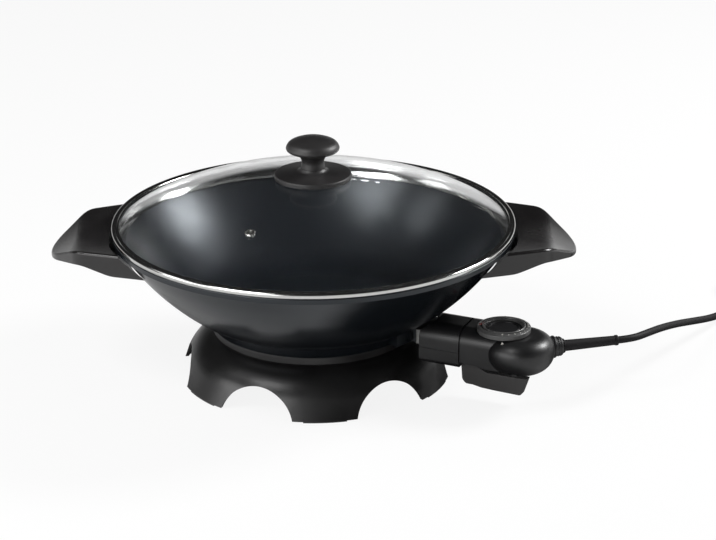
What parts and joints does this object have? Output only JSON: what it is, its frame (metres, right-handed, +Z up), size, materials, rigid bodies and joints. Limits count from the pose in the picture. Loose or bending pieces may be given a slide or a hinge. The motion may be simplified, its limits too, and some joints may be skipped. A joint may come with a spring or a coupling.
{
  "type": "electric wok",
  "caption": "Electric wok: non-stick pan with side handles on an arched base, lift-off glass lid, and a plug-in temperature regulator with dial, eject lever and cord.",
  "frame": {"origin": "centre of the pan at the table, at the bottom of the foot pads", "axes": "+X through the right handle, +Y to the back, +Z up; the regulator plugs in at the front right, 25 degrees from +X towards -Y"},
  "size_m": [0.765, 0.4084, 0.2186],
  "materials": {
    "pan_coating": "black non-stick coating, finely speckled",
    "element_steel": "oxidised",
    "terminal_steel": "plated",
    "ceramic": "glazed ceramic",
    "sheet_steel": "mill",
    "base_phenolic": "satin moulded",
    "pad_rubber": "matt",
    "screw_steel": "zinc",
    "handle_phenolic": "satin moulded",
    "lid_glass": "clear",
    "bright_steel": "polished",
    "case_gloss": "gloss",
    "case_dark": "satin",
    "switch_resin": "moulded resin",
    "contact_brass": "bare",
    "dial_grey": "satin",
    "lever_grey": "matt",
    "lamp_lens": "translucent amber",
    "cord_rubber": "matt",
    "plug_plastic": "moulded"
  },
  "bodies": {
    "wok": {"wok_pan": "pan_coating", "heating_element": "element_steel", "terminal_pins": "terminal_steel", "terminal_insulators": "ceramic", "socket_guard": "sheet_steel", "heat_shield": "sheet_steel", "base_skirt": "base_phenolic", "foot_pads": "pad_rubber", "base_screws": "screw_steel", "left_handle": "handle_phenolic", "right_handle": "handle_phenolic", "handle_screws": "screw_steel"},
    "lid": {"lid_glass": "lid_glass", "lid_rim_band": "bright_steel", "vent_eyelet": "bright_steel", "knob_disc": "handle_phenolic", "lid_knob": "handle_phenolic", "knob_gasket": "pad_rubber", "knob_washer": "screw_steel", "knob_screw": "screw_steel"},
    "regulator": {"regulator_nose": "case_gloss", "regulator_seam_ring": "case_dark", "regulator_upper_housing": "case_gloss", "regulator_lower_housing": "case_gloss", "regulator_screws": "screw_steel", "thermostat_block": "switch_resin", "thermostat_blade": "sheet_steel", "contact_sleeves": "contact_brass", "sensing_probe": "screw_steel", "indicator_lamp": "lamp_lens", "lever_pin": "screw_steel", "lever_spring": "screw_steel", "cord_gland": "case_dark", "strain_relief": "cord_rubber", "power_cord": "cord_rubber", "cord_coil": "cord_rubber", "cord_tie": "plug_plastic", "plug_body": "plug_plastic", "plug_blades": "contact_brass"},
    "dial": {"dial_ring": "dial_grey", "dial_cap": "case_dark", "dial_shaft": "contact_brass"},
    "lever": {"eject_lever": "lever_grey"}
  },
  "joints": [
    {"name": "lid_lift", "type": "slide", "parent": "wok", "child": "lid", "axis": [0, 0, 1], "range_m": [0, 0.15]},
    {"name": "regulator_pull", "type": "slide", "parent": "wok", "child": "regulator", "axis": [0.9063, -0.4226, 0], "range_m": [0, 0.06]},
    {"name": "dial_turn", "type": "hinge", "parent": "regulator", "child": "dial", "pos_m": [0.16459, -0.07675, 0.07], "axis": [0, 0, -1], "range_deg": [0, 270]},
    {"name": "lever_press", "type": "hinge", "parent": "regulator", "child": "lever", "pos_m": [0.13894, -0.06479, 0.035], "axis": [-0.4226, -0.9063, 0], "range_deg": [0, 6.5], "stiffness_Nm_per_rad": 0.3, "springref_deg": -2.86, "deforming": ["lever_spring"]}
  ]
}
